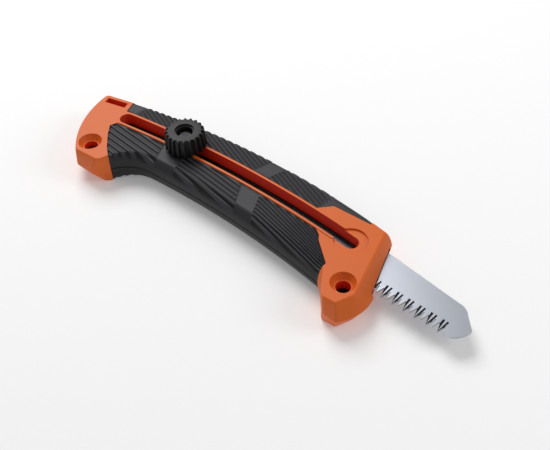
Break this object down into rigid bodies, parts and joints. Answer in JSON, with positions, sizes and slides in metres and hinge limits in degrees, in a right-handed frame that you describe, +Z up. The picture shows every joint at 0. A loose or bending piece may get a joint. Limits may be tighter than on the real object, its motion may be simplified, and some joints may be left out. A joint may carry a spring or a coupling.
{
  "type": "retractable drywall saw",
  "caption": "Pocket drywall saw: curved pistol-like plastic handle with soft grips, a straight toothed blade that slides out of its mouth, and a ribbed knob that locks it.",
  "frame": {"origin": "on the back face the saw lies on, below the middle of the handle", "axes": "+X from the butt towards the blade's nose, +Y towards the spine, +Z up through the locking knob"},
  "size_m": [0.2542, 0.0705, 0.0289],
  "materials": {
    "orange_abs": "moulded, satin",
    "grip_rubber": "moulded, ribbed, matt",
    "nylon": "moulded, matt",
    "black_steel": "black oxide",
    "zinc_steel": "zinc plated",
    "blade_steel": "satin ground",
    "knob_plastic": "moulded, matt",
    "brass": "turned"
  },
  "bodies": {
    "handle": {"face_shell": "orange_abs", "back_shell": "orange_abs", "palm_grip_face": "grip_rubber", "spine_grip_face": "grip_rubber", "palm_grip_back": "grip_rubber", "spine_grip_back": "grip_rubber", "face_track": "nylon", "back_track": "nylon", "mouth_guide_spine": "nylon", "mouth_guide_palm": "nylon", "case_screws": "black_steel", "case_nuts": "black_steel", "back_screws": "black_steel"},
    "carriage": {"face_slot_bush": "nylon", "back_slot_bush": "nylon", "clamp_bolt": "black_steel", "bolt_plate": "zinc_steel", "pivot_bush": "zinc_steel"},
    "blade": {"saw_blade": "blade_steel"},
    "clamp": {"clamp_washer": "zinc_steel"},
    "knob": {"locking_knob": "knob_plastic", "knob_insert": "brass"}
  },
  "joints": [
    {"name": "carriage_travel", "type": "hinge", "parent": "handle", "child": "carriage", "pos_m": [0.03697, -0.6496, 0.009], "axis": [0, 0, -1], "range_deg": [-3.7, 9.8]},
    {"name": "blade_pivot", "type": "hinge", "parent": "carriage", "child": "blade", "pos_m": [-0.05261, 0.0043, 0.009], "axis": [0, 0, -1], "range_deg": [-5, 2]},
    {"name": "knob_lift", "type": "slide", "parent": "carriage", "child": "clamp", "axis": [0, 0, 1], "range_m": [0, 0.00082]},
    {"name": "knob_turn", "type": "hinge", "parent": "clamp", "child": "knob", "pos_m": [-0.05261, 0.0043, 0.02], "axis": [0, 0, 1], "range_deg": [0, 360]}
  ],
  "couplings": [
    {"joint": "blade_pivot", "follows": "carriage_travel", "ratio": -0.5},
    {"joint": "knob_lift", "follows": "knob_turn", "m_per_rad": 0.00012732}
  ]
}
